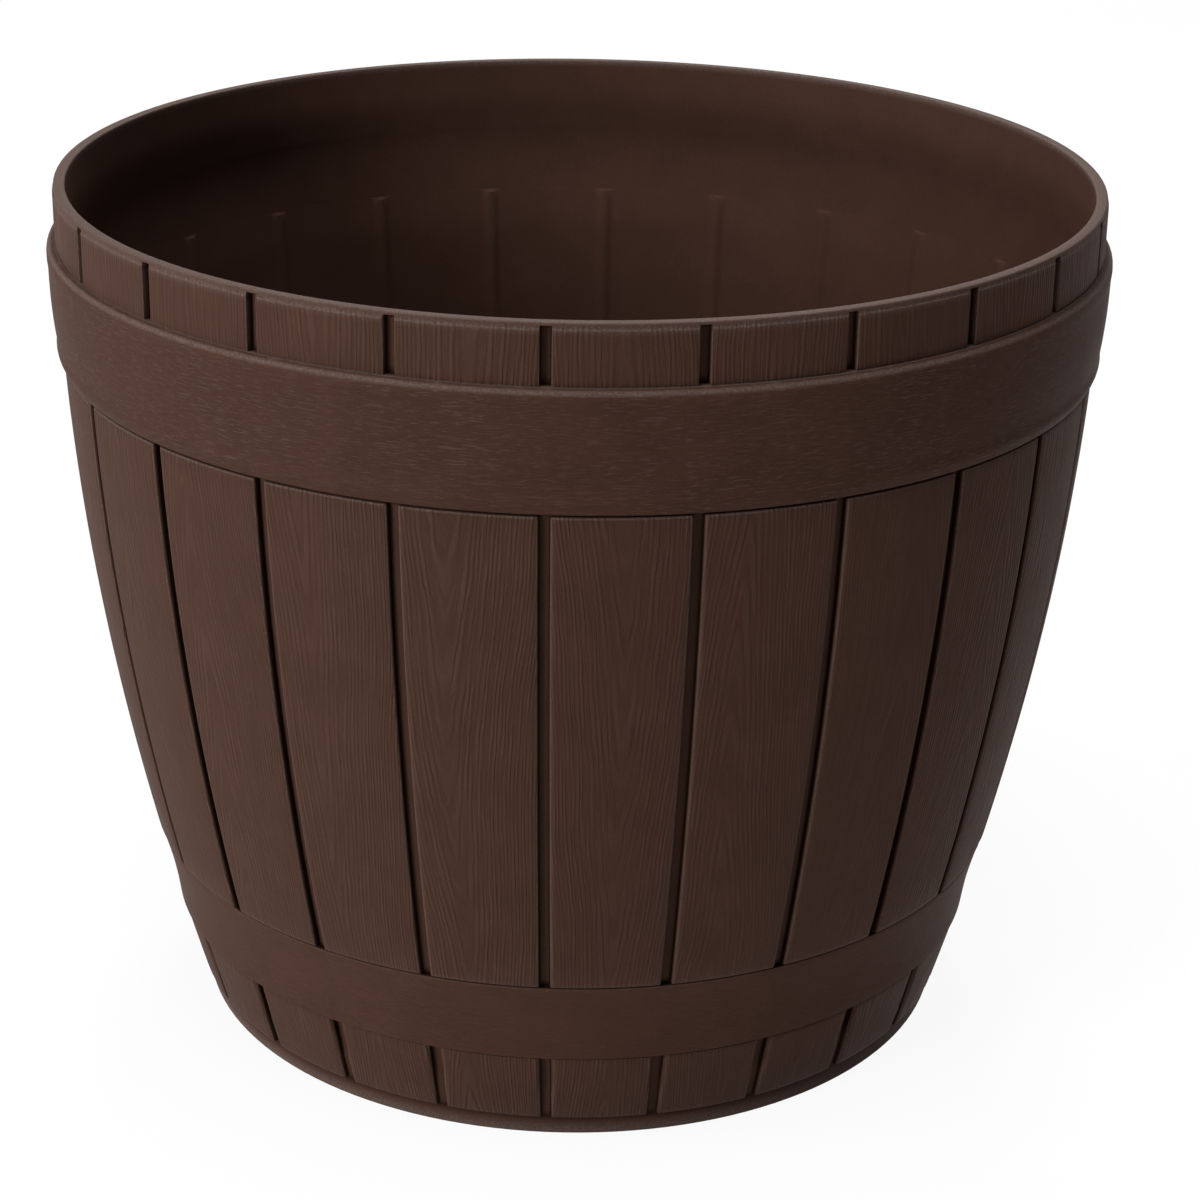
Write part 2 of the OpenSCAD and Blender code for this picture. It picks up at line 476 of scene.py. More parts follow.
def block(size: Triple, x: float, z: float) -> BMesh:
    """Makes a box that stands across the X axis.

    Args:
        size: Its length along X, its width and its height.
        x: The place of its middle along X.
        z: The height of its middle.

    Returns:
        The box.
    """
    work = bmesh.new()
    bmesh.ops.create_cube(work, size=1)
    bmesh.ops.scale(work, vec=size, verts=work.verts)
    bmesh.ops.translate(work, vec=(x, 0, z), verts=work.verts)
    return work


def rounded(work: BMesh, edges: list[bmesh.types.BMEdge], radius: float, segments: int) -> None:
    """Rounds edges of a bmesh.

    Args:
        work: The bmesh.
        edges: The edges.
        radius: How far back the rounding starts.
        segments: How many steps it has.
    """
    bmesh.ops.bevel(work, geom=edges, offset=radius, offset_type="OFFSET", segments=segments,
                    profile=0.5, affect="EDGES", material=-1)


def runs_along(edge: bmesh.types.BMEdge, axis: int) -> bool:
    """Tells whether an edge of a block runs along an axis, 0 for X and 1 for Y."""
    start, end = (vert.co for vert in edge.verts)
    return abs(start[axis] - end[axis]) > MERGE_DIST


def push_out(vert: bmesh.types.BMVert, out: float) -> None:
    """Moves a point away from the Z axis.

    Args:
        vert: The point.
        out: How far it moves; a minus moves it nearer.
    """
    share = 1 + out / radius_of(vert.co)
    vert.co.x *= share
    vert.co.y *= share


def combine(body: Object, tool: Object, operation: str) -> None:
    """Adds a solid to a body or cuts it out, and deletes the tool.

    Args:
        body: The solid that changes.
        tool: The solid that is added or cut out.
        operation: UNION or DIFFERENCE.
    """
    step = body.modifiers.new("combine", "BOOLEAN")
    step.operation, step.object, step.solver = operation, tool, "MANIFOLD"
    apply_modifiers(body)
    mesh = tool.data
    bpy.data.objects.remove(tool)
    bpy.data.meshes.remove(mesh)


def apply_modifiers(body: Object) -> None:
    """Bakes an object's modifiers into its mesh, which keeps its name.

    Args:
        body: The object.
    """
    graph = bpy.context.evaluated_depsgraph_get()
    graph.update()
    old = body.data
    fresh = bpy.data.meshes.new_from_object(body.evaluated_get(graph), depsgraph=graph)
    body.modifiers.clear()
    body.data = fresh
    name = old.name
    bpy.data.meshes.remove(old)
    fresh.name = name


def soften(body: Object, angle: float) -> None:
    """Shades an object smooth, apart from edges sharper than an angle in degrees."""
    body.data.polygons.foreach_set("use_smooth", [True] * len(body.data.polygons))
    body.data.set_sharp_from_angle(angle=math.radians(angle))


# ---------------- the barrel


@dataclass(frozen=True)
class PaintedLightAndShade:
    """Where light and shade are painted on the barrel: painted highlights on its rim, tops and
    edges, painted light on the foot ring, and painted shade in its grooves and creases.
    """

    form: BarrelForm
    groove_split: float
    edge_w: float
    slack: float = 0.1
    # Levels and spans of the painted highlights on the lip, the mouth, the hoops' tops, the collar
    # staves' ends and the staves' edges, of the painted light on the foot ring, and of the painted
    # shade in the grooves and creases.
    lip_least: float = 0.34
    lip_most: float = 0.78
    lip_slope: Span = (0.2, 0.9)
    mouth: float = 0.9
    mouth_depth: float = 1.0
    mouth_drops: Span = (2.7, 0.4)
    groove_top: float = 1.2
    groove_corner: float = -0.75
    row_end: float = -0.6
    crease: float = -0.3
    corner_w: float = 0.3
    foot: float = 1.35
    foot_power: float = 0.8
    crest: float = 0.8
    crest_slopes: tuple[Span, Span] = ((0.36, 0.55), (0.75, 0.95))
    crest_rise: Span = (1.2, 2.4)
    lower_top: float = 0.4
    lower_slope: Span = (-0.15, 0.4)
    end_share: float = 1.3
    end_rise: Span = (-0.7, -0.3)
    edge_turn: Span = (-0.995, -0.85)
    edge_rise: Span = (-0.7, -0.4)
    flank: Span = (0.7, 0.8)

    def level(self, point: Vector, normal: Vector) -> float:
        """Works out the painted light or shade of a point.

        Args:
            point: The point, in millimetres.
            normal: The surface's direction there.

        Returns:
            Up to about 1 where a highlight is painted, 0 where it is plain, down to -1 where shade
            is painted.
        """
        form, z, up = self.form, point.z, normal.z
        radius = radius_of(point)
        depth = form.face_r(z) - radius
        # Painted highlight along the rim's lip, strongest where it faces up.
        if z > form.height - form.rim_plain_h - self.slack and depth < form.rim_t / 2:
            return max(self.lip_least, self.lip_most * smooth(up, *self.lip_slope))
        # Painted highlight on the inside of the rim, just under its top.
        if depth > form.rim_t - self.mouth_depth and z > form.collar_z:
            return self.mouth * smooth(z, *(form.height - drop for drop in self.mouth_drops))
        facing = (normal.x * point.x + normal.y * point.y) / radius
        # Painted shade in the grooves and creases.
        dark = self.painted_shade_level(point, depth, facing)
        if dark is not None:
            return dark
        if depth > form.stave_raise + form.foot_ring_set + self.slack:
            return 0.0
        # Painted light on the foot ring, lighter towards its bottom.
        if z < form.foot_ring_h + self.slack:
            return self.foot * max(0.0, 1 - z / form.foot_ring_h) ** self.foot_power
        # Painted highlight along the upper hoop's top crest.
        if form.upper_hoop_z < z < form.collar_z:
            start, end = self.crest_slopes
            crest = smooth(up, *start) * (1 - smooth(up, *end))
            return self.crest * crest * smooth(-depth, *self.crest_rise)
        # Painted highlight along the lower hoop's top edge.
        if form.lower_hoop_z < z < form.lower_hoop_top_z:
            return self.lower_top * smooth(up, *self.lower_slope)
        # Painted highlight along the collar staves' top ends.
        end_w, below = self.end_share * self.edge_w, form.rows[-1].high_end - z
        if form.collar_z < z and below < end_w:
            return (1 - below / end_w) * smooth(-depth, *self.end_rise)
        # Painted highlight along the staves' side edges, stronger where they face up.
        edge = smooth(-facing, *self.edge_turn) * smooth(-depth, *self.edge_rise)
        level, slope = self.flank
        return edge * min(1.0, max(0.0, level + slope * up))

    def painted_shade_level(self, point: Vector, depth: float, facing: float) -> float | None:
        """Works out the painted shade at a point of a groove or of a hoop's crease.

        Args:
            point: The point, in millimetres.
            depth: How far it lies behind the staves' faces.
            facing: How far its surface faces outwards, from -1 to 1.

        Returns:
            The level there, or None elsewhere.
        """
        form, side = self.form, self.form.groove_w / 2
        # Painted shade at the grooves' ends and along their corners.
        if self.groove_split > depth > self.groove_top and facing > INWARDS:
            ends = [end for row in form.rows
                    for end in (row.bottom, row.low_end, row.high_end, row.top)]
            if min(abs(point.z - end) for end in ends) < self.slack:
                return self.row_end
            offset = form.groove_offset(point)
            if offset < side + self.slack:
                return self.groove_corner if offset > side - self.corner_w else 0.0
        # Painted shadow in the crease at the lower hoop's top and at the foot staves' top ends,
        # under the hoop.
        creases = form.lower_hoop_top_z, form.rows[0].high_end
        if facing > 0 and min(abs(point.z - end) for end in creases) < self.corner_w:
            return self.crease
        return None


@dataclass
class BarrelShell:
    """The one-piece barrel: wall, hoops, staves, rim, foot ring, floor and ribs."""

    form: BarrelForm
    sector_steps: int = 6
    curve_step: float = 9.0
    bead_step: float = 1.05
    hoop_step: float = 4.0
    ledge_step: float = 3.0
    inside_step: float = 14.0
    low_round_steps: int = 5
    high_round_steps: int = 8
    drain_steps: int = 64
    hub_steps: int = 96
    cut_slack: float = 1e-4
    seam_slack: float = 0.01
    sharp_angle: float = 38.0

    stave_round: float = 0.55
    round_share: float = 0.7
    shoulder: float = 0.4
    shoulder_share: float = 0.25
    shoulder_w: float = 2.4
    # Width of the band of points under the staves' top ends that carries their painted highlight.
    highlight_w: float = 0.9
    mouth_h: float = 2.0
    ledge_soft_h: float = 34.0
    ledge_lip: float = 0.03
    ridge_gap: float = 0.9
    split_depth: float = 2.7
    ledge_split: float = 1.7
    groove_split: float = 3.35
    stave_split: float = 0.6

    rib_count: int = 8
    rib_t: float = 2.0
    rib_ground_gap: float = 3.5
    hub_rib_r: float = 40.0
    drain_count: int = 4
    drain_pitch_r: float = 92.0
    drain_d: float = 14.0
    drain_h: float = 5.5
    well_d: float = 32.0
    well_depth: float = 1.5
    well_wall_t: float = 2.5
    edge_round: float = 0.4
    overcut: float = 5.0

    @property
    def well_z(self) -> float:
        """Height of the wells' floors."""
        return self.form.floor_z - self.well_depth

    def hoop_band(self, lower: bool) -> list[Point]:
        """Draws the face of a hoop, from its bottom edge to its top edge.

        Args:
            lower: Whether it is the lower hoop.

        Returns:
            Its outline.
        """
        form = self.form
        if lower:
            z0, z1, face = form.lower_hoop_z, form.lower_hoop_top_z, form.lower_face
            r0, r1, fall = form.lower_edge_round, form.lower_top_round, form.lower_top_fall
            middle = steps_between(z0 + r0, z1 - r1, self.hoop_step)
        else:
            z0, z1, face = form.upper_hoop_z, form.collar_z, form.upper_face
            r0, r1, fall = form.upper_bottom_round, form.upper_top_round, form.upper_top_round
            low, high = z0 + form.bead_w, z1 - form.bead_w
            middle = [*steps_between(z0 + r0, low, self.bead_step)[:-1],
                      *steps_between(low, high, self.hoop_step)[:-1],
                      *steps_between(high, z1 - r1, self.bead_step)]
        lows, highs, quarter = self.low_round_steps, self.high_round_steps, math.pi / 2
        starts = [z0 + r0 * (1 - math.cos(quarter * i / lows)) for i in range(lows)]
        ends = [z1 - r1 * (1 - math.sin(quarter * i / highs)) for i in range(1, highs + 1)]
        return [(face(z) - edge_fall(z - z0, r0) - edge_fall(z1 - z, r1, fall), z)
                for z in starts + middle + ends]

    def row_band(self, row: StaveRow) -> list[Point]:
        """Draws the surface that a row of staves stands on, from its bottom to its top.

        Args:
            row: The row.

        Returns:
            Its outline.
        """
        low, high = row.low_end + self.shoulder_w, row.high_end - self.shoulder_w
        inner = [row.low_end, *steps_between(low, high, self.curve_step),
                 row.high_end - self.highlight_w, row.high_end]
        just_above = 1e-3
        return [(self.form.face_r(z + just_above) - row.raised, z)
                for z in (row.bottom, *inner, row.top)]

    def outline(self) -> list[Point]:
        """Draws the wall's whole outline.

        Returns:
            Points from the floor's lower face, round the foot ring, up the outside, over the
            rim and down the inside to the floor's upper face.
        """
        form = self.form
        foot_r, lip_r = form.foot_ring_r - form.foot_round, form.collar_r - form.collar_raise
        low, middle, high = form.rows
        return [
            (form.foot_inner_r, form.under_z),
            *arc((form.foot_inner_r + form.foot_inner_round, form.foot_inner_round),
                 form.foot_inner_round, 180, 270, count=3),
            *arc((foot_r, form.foot_round), form.foot_round, -90, 0, count=6),
            *self.row_band(low),
            *self.hoop_band(lower=True),
            *self.row_band(middle),
            *self.hoop_band(lower=False),
            *self.row_band(high),
            *arc((lip_r - form.rim_round, form.height - form.rim_round), form.rim_round, 0, 90),
            *arc((form.rim_inner_r + form.rim_inner_round, form.height - form.rim_inner_round),
                 form.rim_inner_round, 90, 180),
            *self.inside(),
        ]

    def inside(self) -> list[Point]:
        """Draws the inside of the wall, below the rim's rounding.

        Returns:
            Points down to the floor's upper face.
        """
        form, turn = self.form, self.form.corner_round
        lean = math.atan((form.inside_r(form.floor_z + turn) - form.inside_r(form.floor_z)) / turn)
        corner_z = form.floor_z + turn * (1 - math.sin(lean))
        corner_r = form.inside_r(corner_z) - turn * math.cos(lean)
        rim_z, hoop_z = form.height - form.rim_inner_round, form.collar_z - form.bead_w
        mouth_z = rim_z - self.mouth_h
        soft_z = (form.ledge_z + form.ledge_end_z + self.ledge_soft_h) / 2
        wall_z = soft_z - self.ledge_soft_h
        past_lip, past_ledge, past_corner = 1.0, 2.0, 3.0
        return [
            *[(form.rim_inner_r, z)
              for z in (*steps_between(rim_z, mouth_z, self.mouth_h / 2)[1:],
                        *steps_between(mouth_z, form.collar_z, self.inside_step)[1:])],
            *[(form.hoop_inner_r, z) for z in steps_between(hoop_z, soft_z, self.inside_step)],
            *[(self.ledge_r(z, soft_z) + self.ledge_lip, z)
              for z in steps_between(soft_z, form.ledge_z, self.ledge_step)[1:]],
            (self.ledge_r(form.ledge_z, soft_z), form.ledge_z - self.ledge_lip),
            *[(self.ledge_r(z, soft_z), z)
              for z in steps_between(form.ledge_z - past_lip, wall_z, self.ledge_step)],
            *[(form.inside_r(z), z) for z in
              (*steps_between(wall_z - past_ledge, corner_z + past_corner, self.inside_step),
               corner_z)],
            *arc((corner_r, form.floor_z + turn), turn, -math.degrees(lean), -90, count=6)[1:],
        ]

    def ledge_r(self, z: float, top: float) -> float:
        """Works out the inside where the wall behind the hoop runs into the wall below.

        Args:
            z: A height.
            top: Where the change from one to the other starts.

        Returns:
            The radius there.
        """
        form = self.form
        step = form.inside_r(z) - form.hoop_inner_r
        return form.hoop_inner_r + step * smooth(top - z, 0, self.ledge_soft_h)

    def ring(self) -> BMesh:
        """Turns the outline into the whole wall, out of one sector that is repeated.

        Returns:
            The wall, open at the floor, with a column of edges along each side of each groove.
        """
        form, pitch = self.form, self.form.groove_pitch
        work, geom = drawn(self.outline(), closed=False)
        turned(work, geom, pitch, self.sector_steps)
        bmesh.ops.remove_doubles(work, verts=work.verts, dist=MERGE_DIST)
        shoulder = form.groove_w / 2 + self.shoulder_w
        for offset in (form.groove_w / 4, form.groove_w / 2, form.ridge_w / 2, shoulder):
            for angle, side in ((0, 1), (pitch, -1)):
                normal = Vector((-math.sin(angle), math.cos(angle), 0))
                bmesh.ops.bisect_plane(work, geom=everything(work), dist=self.cut_slack,
                                       plane_co=normal * offset * side, plane_no=normal)
        self.swell_ridges(work)
        turned(work, everything(work), FULL_TURN, form.stave_count, use_duplicate=True)
        bmesh.ops.remove_doubles(work, verts=work.verts, dist=self.seam_slack)
        return work

    def swell_ridges(self, work: BMesh) -> None:
        """Swells the soft ridge on the inside of the wall, behind each groove.

        Args:
            work: The wall, which changes.
        """
        form = self.form
        low, high = form.floor_z + form.corner_round, form.ledge_z - self.ridge_gap
        for vert in work.verts:
            z, offset = vert.co.z, form.groove_offset(vert.co)
            inside = radius_of(vert.co) < form.face_r(z) - self.ledge_split
            if inside and offset < form.ridge_w / 2 and low < z < high:
                push_out(vert, -form.ridge_h * math.cos(math.pi * offset / form.ridge_w))

    def pick(self, work: BMesh, heights: Span, offsets: Span) -> list[bmesh.types.BMFace]:
        """Finds faces on the outside of the wall by where their middles are.

        Args:
            work: The wall.
            heights: Between which heights.
            offsets: Between which distances from a groove's middle.

        Returns:
            The faces.
        """
        form, found = self.form, []
        for face in work.faces:
            middle = face.calc_center_median()
            outside = radius_of(middle) > form.face_r(middle.z) - self.split_depth
            if (outside and heights[0] < middle.z < heights[1]
                    and offsets[0] < form.groove_offset(middle) < offsets[1]):
                found.append(face)
        return found

    @staticmethod
    def raise_faces(work: BMesh, faces: list[bmesh.types.BMFace], out: float,
                    edge_round: float = 0.0, shoulder: float = 0.0) -> None:
        """Extrudes faces away from the axis, or towards it, and rounds the edges.

        Args:
            work: The wall.
            faces: The faces that move.
            out: How far they move out; a minus moves them in.
            edge_round: The radius of their edges; 0 leaves them sharp.
            shoulder: How much less their edges move than the rest.
        """
        made = bmesh.ops.extrude_face_region(work, geom=faces)["geom"]
        bmesh.ops.delete(work, geom=faces, context="FACES")
        raised = {v for v in made if isinstance(v, bmesh.types.BMVert)}
        for vert in raised:
            at_edge = any(edge.other_vert(vert) not in raised for edge in vert.link_edges)
            push_out(vert, out - shoulder * at_edge)
        if not edge_round:
            return
        least_turn = 0.8
        work.normal_update()
        convex = [e for e in work.edges if (e.verts[0] in raised or e.verts[1] in raised)
                  and e.is_manifold and e.calc_face_angle_signed() > least_turn]
        rounded(work, convex, edge_round, segments=3)

    def wall(self) -> BMesh:
        """Builds the wall with its staves, grooves and inner ridges, closed by a floor.

        Returns:
            The wall, in millimetres.
        """
        form, side = self.form, self.form.groove_w / 2
        work = self.ring()
        bmesh.ops.recalc_face_normals(work, faces=work.faces)
        for row in form.rows:
            if row.groove_sink:
                grooves = self.pick(work, (row.bottom, row.top), (-math.inf, side))
                self.raise_faces(work, grooves, -row.groove_sink)
        for row in form.rows:
            staves = self.pick(work, (row.low_end, row.high_end), (side, math.inf))
            self.raise_faces(work, staves, row.raised,
                             min(self.stave_round, self.round_share * row.raised),
                             min(self.shoulder, self.shoulder_share * row.raised))
        rims = [e for e in work.edges if e.is_boundary]
        bmesh.ops.holes_fill(work, edges=rims, sides=0)
        bmesh.ops.recalc_face_normals(work, faces=work.faces)
        return work

    def at_drains(self, work: BMesh) -> BMesh:
        """Copies a shape to each drain hole.

        Args:
            work: A shape about the Z axis, with the wells' floors at z = 0.

        Returns:
            The same bmesh, with one copy at each drain hole.
        """
        bmesh.ops.translate(work, verts=work.verts, vec=(self.drain_pitch_r, 0, self.well_z))
        return copied_round(work, self.drain_count)

    def drain_bosses(self) -> Object:
        """Builds the plates and collars round the drain holes.

        Returns:
            One solid with all of them.
        """
        plate_r, collar_r = (d / 2 + self.well_wall_t for d in (self.well_d, self.drain_d))
        soft, plate, end = self.edge_round, -self.well_wall_t, -self.drain_h
        return to_object("bosses", self.at_drains(spun([
            (0, 0), (plate_r, 0), (plate_r, plate + soft), (plate_r - soft, plate),
            (collar_r + soft, plate), (collar_r, plate - soft),
            (collar_r, end + soft), (collar_r - soft, end), (0, end),
        ], self.drain_steps)))

    def drain_cuts(self) -> Object:
        """Builds the cutters for the wells and the drain holes.

        Returns:
            One solid with all of them.
        """
        well_r, hole_r, soft = self.well_d / 2, self.drain_d / 2, self.edge_round
        top, end = self.well_depth, -self.drain_h
        return to_object("drain_cuts", self.at_drains(spun([
            (0, top + self.overcut), (well_r + soft, top + self.overcut), (well_r + soft, top),
            (well_r, top - soft), (well_r, 0), (hole_r + soft, 0), (hole_r, -soft),
            (hole_r, end + soft), (hole_r + soft, end), (hole_r + soft, end - self.overcut),
            (0, end - self.overcut),
        ], self.drain_steps)))

    @property
    def rib_heights(self) -> Span:
        """Heights of the ribs' lower edges, and of their upper edges inside the floor."""
        return self.rib_ground_gap, self.form.under_z + self.form.floor_t / 2

    def hub_rib(self) -> Object:
        """Builds the ring rib under the middle of the floor.

        Returns:
            The rib, whose top lies inside the floor.
        """
        low, high = self.rib_heights
        near, far = self.hub_rib_r - self.rib_t / 2, self.hub_rib_r + self.rib_t / 2
        soft = self.edge_round
        return to_object("hub_rib", spun([
            (near, high), (near, low + soft), (near + soft, low), (far - soft, low),
            (far, low + soft), (far, high),
        ], self.hub_steps))

    def ribs(self) -> Object:
        """Builds the straight ribs from the ring rib to the foot ring.

        Returns:
            One solid with all of them.
        """
        low, high = self.rib_heights
        near, far = self.hub_rib_r, self.form.foot_inner_r + self.rib_t
        middle_z = (high + low) / 2
        work = block((far - near, self.rib_t, high - low), (far + near) / 2, middle_z)
        lowest = [e for e in work.edges if runs_along(e, 0)
                  and all(v.co.z < middle_z for v in e.verts)]
        rounded(work, lowest, self.edge_round, segments=2)
        bmesh.ops.rotate(work, verts=work.verts, cent=(0, 0, 0),
                         matrix=Matrix.Rotation(math.pi / self.rib_count, 3, "Z"))
        return to_object("ribs", copied_round(work, self.rib_count))

    def build(self) -> Object:
        """Builds the barrel in the frame's place.

        Returns:
            The barrel, riding on the CAD body and standing for its node.
        """
        shell = to_object("moulded_barrel", self.wall())
        for tool in (self.hub_rib(), self.ribs(), self.drain_bosses()):
            combine(shell, tool, "UNION")
        combine(shell, self.drain_cuts(), "DIFFERENCE")
        soften(shell, self.sharp_angle)
        self.paint_light_and_shade(shell)
        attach(shell, "barrel")
        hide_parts(SHELL_NODE)
        return shell

    def paint_light_and_shade(self, shell: Object) -> None:
        """Keeps the painted light and shade of each point on the mesh, for the finishes.

        Args:
            shell: The barrel, which gets the attribute.
        """
        painted_light_and_shade = PaintedLightAndShade(self.form, self.groove_split, self.highlight_w)
        levels = [painted_light_and_shade.level(v.co / MM, v.normal) for v in shell.data.vertices]
        layer = shell.data.attributes.new(LIGHT_AND_SHADE, "FLOAT", "POINT")
        layer.data.foreach_set("value", levels)

    def skin_of(self, middle: Vector, normal: Vector) -> Skin:
        """Names the finish of a face.

        Args:
            middle: The face's middle, in millimetres.
            normal: The way it looks.

        Returns:
            Its finish.
        """
        form, radius = self.form, radius_of(middle)
        depth = form.face_r(middle.z) - radius
        facing = (normal.x * middle.x + normal.y * middle.y) / max(radius, 1.0)
        if middle.z > form.floor_z and (depth > self.groove_split or facing < INWARDS):
            return Skin.INSIDE
        if form.upper_hoop_z < middle.z < form.collar_z:
            return Skin.HOOP
        if form.lower_hoop_z < middle.z < form.lower_hoop_top_z:
            return Skin.LOWER_HOOP
        in_row = any(row.bottom < middle.z < row.top for row in form.rows)
        return Skin.STAVE if in_row and depth < self.stave_split else Skin.PLAIN

    def dress(self, shell: Object, finishes: dict[Skin, Material]) -> None:
        """Gives each face of the barrel its finish.

        Args:
            shell: The barrel.
            finishes: A material for each finish.
        """
        shell.data.materials.clear()
        for skin in Skin:
            shell.data.materials.append(finishes[skin])
        for face in shell.data.polygons:
            face.material_index = self.skin_of(Vector(face.center) / MM, face.normal).value


# ---------------- the plugs


@dataclass
class DrainPlug:
    """One push-in plug: a flange, a hollow stem and a grip to pull it out by."""

    index: int
    shell: BarrelShell
    stem_gap: float = 0.1
    flange_gap: float = 0.6
    flange_t: float = 2.2
    flange_lift: float = 0.2
    stem_reach: float = 2.5
    stem_wall_t: float = 1.6
    grip_h: float = 10.0
    grip_w: float = 16.0
    grip_t: float = 3.0
    grip_round: float = 5.0
    chamfer: float = 0.6
    rim_w: float = 2.2
    rim_drop: float = 0.5
    round_steps: int = 96
    sharp_angle: float = 35.0

    @property
    def body(self) -> str:
        """Name of the CAD body that the plug rides on."""
        return f"plug_{self.index + 1}"

    def flange(self) -> Object:
        """Builds the flange and the stem, which is hollow from below.

        Returns:
            Both as one solid, about the Z axis, with its seat at z = 0.
        """
        stem_r = self.shell.drain_d / 2 - self.stem_gap
        hollow_r = stem_r - self.stem_wall_t
        flange_r = self.shell.well_d / 2 - self.flange_gap
        end, top, soft = -self.shell.drain_h - self.stem_reach, self.flange_t, self.chamfer
        dish_r, dish_z, lift = flange_r - self.rim_w, top - self.rim_drop, self.flange_lift
        return to_object(self.body, spun([
            (0, dish_z), (dish_r - self.rim_drop, dish_z), (dish_r, top),
            *arc((flange_r - soft, top - soft), soft, 90, 0),
            (flange_r, lift), (flange_r - lift, 0), (stem_r, 0),
            (stem_r, end + soft), (stem_r - soft, end),
            (hollow_r, end), (hollow_r, lift), (0, lift),
        ], self.round_steps))

    def grip(self) -> Object:
        """Builds the upright grip, with two round corners and soft edges.

        Returns:
            The grip, which starts inside the flange.
        """
        low, top = self.flange_t / 2, self.flange_t + self.grip_h
        middle_z = (top + low) / 2
        work = block((self.grip_w, self.grip_t, top - low), 0, middle_z)
        corners = [e for e in work.edges if runs_along(e, 1)
                   and all(v.co.z > middle_z for v in e.verts)]
        rounded(work, corners, self.grip_round, segments=8)
        lowest = min(v.co.z for v in work.verts)
        rim = [e for e in work.edges if not runs_along(e, 1)
               and any(v.co.z > lowest + MERGE_DIST for v in e.verts)]
        rounded(work, rim, self.chamfer, segments=3)
        bmesh.ops.recalc_face_normals(work, faces=work.faces)
        return to_object("grip", work)

    def build(self, finish: Material) -> Object:
        """Builds the plug in its drain hole.

        Args:
            finish: Its material.

        Returns:
            The plug, riding on its CAD body and standing for its node.
        """
        plug = self.flange()
        combine(plug, self.grip(), "UNION")
        turn = Matrix.Rotation(FULL_TURN * self.index / self.shell.drain_count, 4, "Z")
        seat = Matrix.Translation((self.shell.drain_pitch_r * MM, 0, self.shell.well_z * MM))
        plug.data.transform(turn @ seat)
        soften(plug, self.sharp_angle)
        plug.name = f"push_in_plug_{self.index + 1}"
        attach(plug, self.body)
        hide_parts(f"drain_plug_{self.index + 1}")
        plug.data.materials.clear()
        plug.data.materials.append(finish)
        return plug


# ---------------- finishes


class NodeSheet:
    """A short way to write down the nodes of a material or a world."""

    def __init__(self, tree: bpy.types.NodeTree) -> None:
        """Starts with an empty tree."""
        self.tree = tree
        tree.nodes.clear()

    def add(self, kind: str, settings: dict[str, object] | None = None,
            **inputs: object) -> bpy.types.Node:
        """Adds a node.

        Args:
            kind: The node's type, without the word ShaderNode.
            settings: Its own properties.
            **inputs: What its sockets get, by name with _ for a space: a value or a socket.

        Returns:
            The node.
        """
        node = self.tree.nodes.new("ShaderNode" + kind)
        for name, value in (settings or {}).items():
            setattr(node, name, value)
        for name, value in inputs.items():
            self.put(node.inputs[name.replace("_", " ")], value)
        return node

    def put(self, socket: Socket, value: object) -> None:
        """Links a socket, or sets its own value.

        Args:
            socket: The socket.
            value: Another socket, or a number, colour or vector.
        """
        if isinstance(value, Socket):
            self.tree.links.new(value, socket)
        else:
            socket.default_value = value

    def math(self, operation: str, *values: object, clamp: bool = False) -> Socket:
        """Adds a Math node.

        Args:
            operation: Its operation.
            *values: Its inputs, in order.
            clamp: Whether the result stays from 0 to 1.

        Returns:
            Its result.
        """
        node = self.add("Math", {"operation": operation, "use_clamp": clamp})
        for socket, value in zip(node.inputs, values):
            self.put(socket, value)
        return node.outputs[0]

    def times(self, first: object, second: object) -> Socket:
        """Multiplies two numbers."""
        return self.math("MULTIPLY", first, second)

    def total(self, *values: object) -> Socket:
        """Adds several numbers up.

        Args:
            *values: The numbers, or their sockets.

        Returns:
            Their sum.
        """
        result = values[0]
        for value in values[1:]:
            result = self.math("ADD", result, value)
        return result

    def swing(self, value: Socket, reach: float) -> Socket:
        """Spreads a value from 0 to 1 over a reach, half of it to each side of 0."""
        return self.times(self.math("SUBTRACT", value, 0.5), reach)

    def vector(self, x: object, y: object, z: object = 0.0) -> Socket:
        """Joins three numbers into a vector."""
        return self.add("CombineXYZ", X=x, Y=y, Z=z).outputs[0]

    def noise(self, vector: Socket, scale: float, detail: float = 2.0,
              roughness: float = 0.5) -> Socket:
        """Adds a noise, from 0 to 1, with its middle at 0.5."""
        return self.add("TexNoise", {"noise_dimensions": "3D"}, Vector=vector, Scale=scale,
                        Detail=detail, Roughness=roughness).outputs[0]

    def between(self, value: object, span: Span, result: Span = (0.0, 1.0)) -> Socket:
        """Turns a value within one span smoothly into one within another."""
        return self.add("MapRange", {"interpolation_type": "SMOOTHSTEP"}, Value=value,
                        From_Min=span[0], From_Max=span[1], To_Min=result[0],
                        To_Max=result[1]).outputs[0]

    def mixed(self, blend: str, share: object, first: object, second: object) -> Socket:
        """Mixes two colours.

        Args:
            blend: How: MIX or MULTIPLY.
            share: How much of the second comes in.
            first: The first colour.
            second: The second.

        Returns:
            The mixed colour.
        """
        node = self.add("Mix", {"data_type": "RGBA", "blend_type": blend})
        for index, value in ((0, share), (6, first), (7, second)):
            self.put(node.inputs[index], value)
        return node.outputs[2]


def new_material(name: str) -> tuple[Material, NodeSheet]:
    """Makes an empty material.

    Args:
        name: Its name.

    Returns:
        The material, and its nodes to fill in.
    """
    material = bpy.data.materials.new(name)
    material.use_nodes = True
    return material, NodeSheet(material.node_tree)


